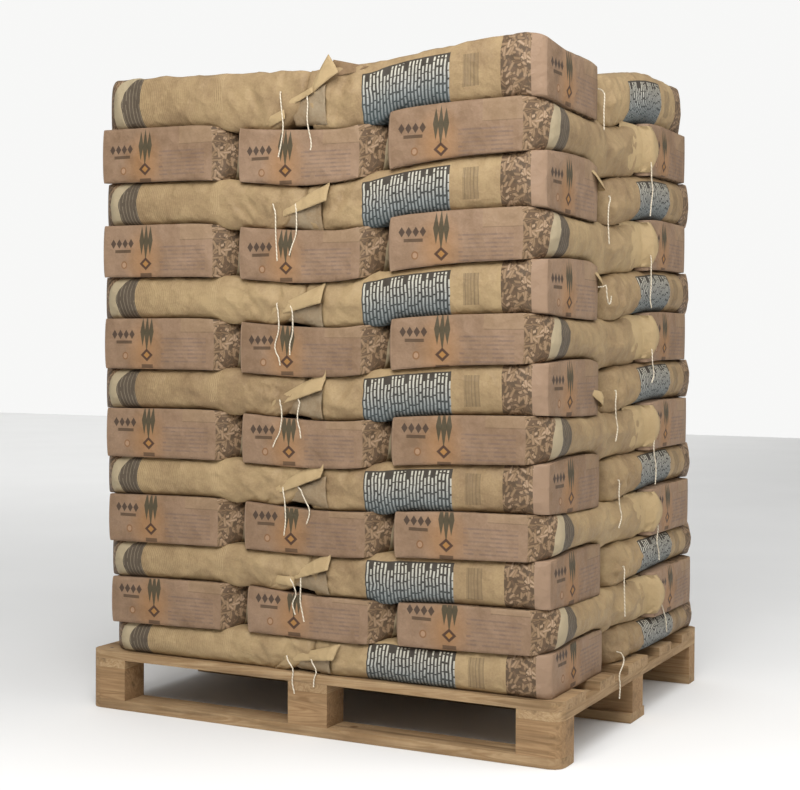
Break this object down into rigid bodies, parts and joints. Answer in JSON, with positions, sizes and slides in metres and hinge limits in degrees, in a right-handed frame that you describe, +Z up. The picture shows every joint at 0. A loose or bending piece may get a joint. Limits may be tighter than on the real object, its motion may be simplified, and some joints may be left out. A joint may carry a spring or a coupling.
{
  "type": "pallet of filled paper sacks",
  "caption": "Wooden block pallet loaded with crosswise layers of filled, sewn kraft paper sacks of pelleted fuel.",
  "frame": {"origin": "middle of the pallet's underside, on the floor", "axes": "+Z up, +X along the pallet's long side, +Y from the front long side to the back"},
  "size_m": [1.2167, 1.0061, 1.5377],
  "materials": {
    "pine_board": "rough sawn pine",
    "pine_block": "rough sawn pine, end grain at the front",
    "kraft_paper": "matt printed kraft paper",
    "cotton_thread": "undyed twisted cotton"
  },
  "bodies": {
    "root": {"block_back_left": "pine_block", "block_back_middle": "pine_block", "block_back_right": "pine_block", "block_front_left": "pine_block", "block_front_middle": "pine_block", "block_front_right": "pine_block", "block_middle_left": "pine_block", "block_middle_middle": "pine_block", "block_middle_right": "pine_block", "deck_board_1": "pine_board", "deck_board_2": "pine_board", "deck_board_3": "pine_board", "deck_board_4": "pine_board", "deck_board_5": "pine_board", "sack_layer_01": "kraft_paper", "sack_layer_02": "kraft_paper", "sack_layer_03": "kraft_paper", "sack_layer_04": "kraft_paper", "sack_layer_05": "kraft_paper", "sack_layer_06": "kraft_paper", "sack_layer_07": "kraft_paper", "sack_layer_08": "kraft_paper", "sack_layer_09": "kraft_paper", "sack_layer_10": "kraft_paper", "sack_layer_11": "kraft_paper", "sack_layer_12": "kraft_paper", "sack_layer_13": "kraft_paper", "skid_back": "pine_board", "skid_front": "pine_board", "skid_middle": "pine_board", "stringer_left": "pine_board", "stringer_middle": "pine_board", "stringer_right": "pine_board", "thread_front_left_01": "cotton_thread", "thread_front_left_03": "cotton_thread", "thread_front_left_05": "cotton_thread", "thread_front_left_07": "cotton_thread", "thread_front_left_09": "cotton_thread", "thread_front_left_11": "cotton_thread", "thread_front_left_13": "cotton_thread", "thread_front_right_01": "cotton_thread", "thread_front_right_03": "cotton_thread", "thread_front_right_05": "cotton_thread", "thread_front_right_07": "cotton_thread", "thread_front_right_09": "cotton_thread", "thread_front_right_11": "cotton_thread", "thread_front_right_13": "cotton_thread", "thread_side_01": "cotton_thread", "thread_side_02": "cotton_thread", "thread_side_03": "cotton_thread", "thread_side_04": "cotton_thread", "thread_side_05": "cotton_thread", "thread_side_06": "cotton_thread", "thread_side_07": "cotton_thread", "thread_side_08": "cotton_thread", "thread_side_09": "cotton_thread", "thread_side_10": "cotton_thread", "thread_side_11": "cotton_thread", "thread_side_12": "cotton_thread", "thread_side_13": "cotton_thread"}
  },
  "joints": []
}
